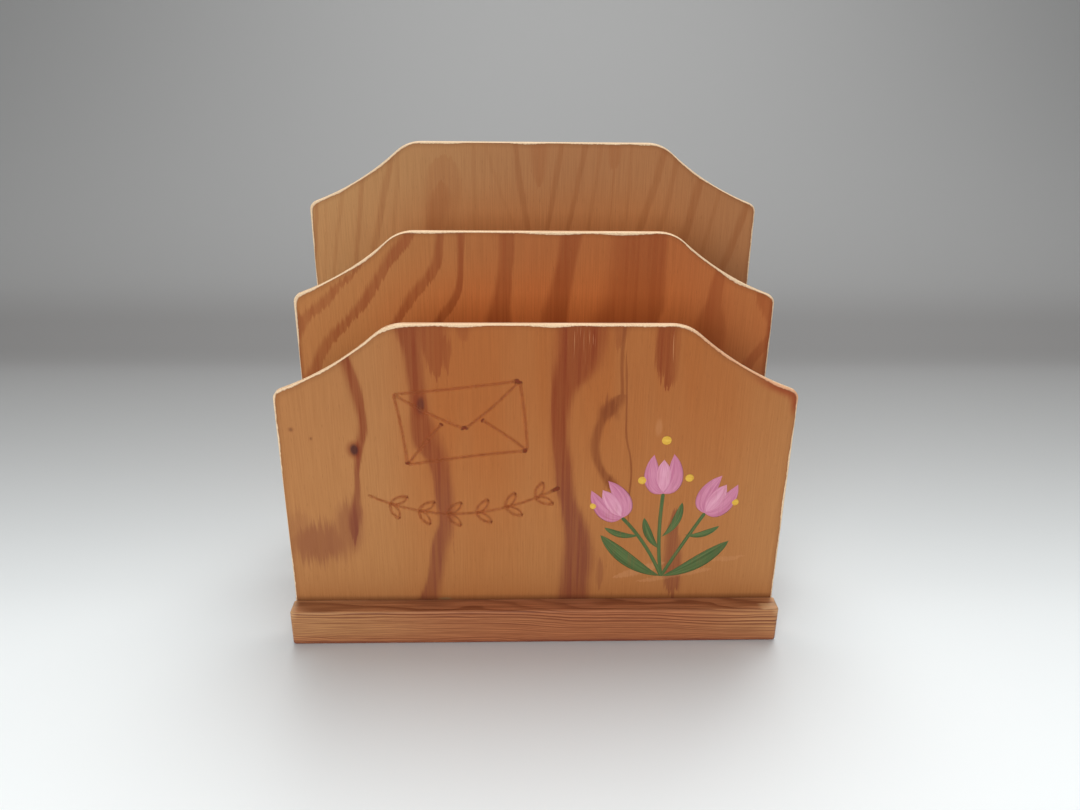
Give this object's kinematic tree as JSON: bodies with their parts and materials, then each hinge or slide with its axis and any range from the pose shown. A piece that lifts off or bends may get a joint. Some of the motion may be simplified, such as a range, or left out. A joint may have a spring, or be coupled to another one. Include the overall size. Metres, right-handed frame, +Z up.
{
  "type": "letter rack",
  "caption": "Free-standing wooden letter rack: upright plywood dividers of rising height with shouldered tops, glued into a solid pine base board.",
  "frame": {"origin": "middle of the base board's underside", "axes": "+X to the right along the board and dividers, -Y to the front with the lowest divider, +Z up"},
  "size_m": [0.202, 0.1084, 0.1914],
  "materials": {
    "pine_board": "aged satin varnish over close-grained pine",
    "outer_veneer": "aged satin varnish over pine veneer, sanded pale at the arrises",
    "core_veneer": "pale cross-grained core, thin varnish"
  },
  "bodies": {
    "root": {"base_board": "pine_board", "front_divider_face_ply": "outer_veneer", "front_divider_core_ply": "core_veneer", "front_divider_back_ply": "outer_veneer", "middle_divider_face_ply": "outer_veneer", "middle_divider_core_ply": "core_veneer", "middle_divider_back_ply": "outer_veneer", "rear_divider_face_ply": "outer_veneer", "rear_divider_core_ply": "core_veneer", "rear_divider_back_ply": "outer_veneer"}
  },
  "joints": []
}
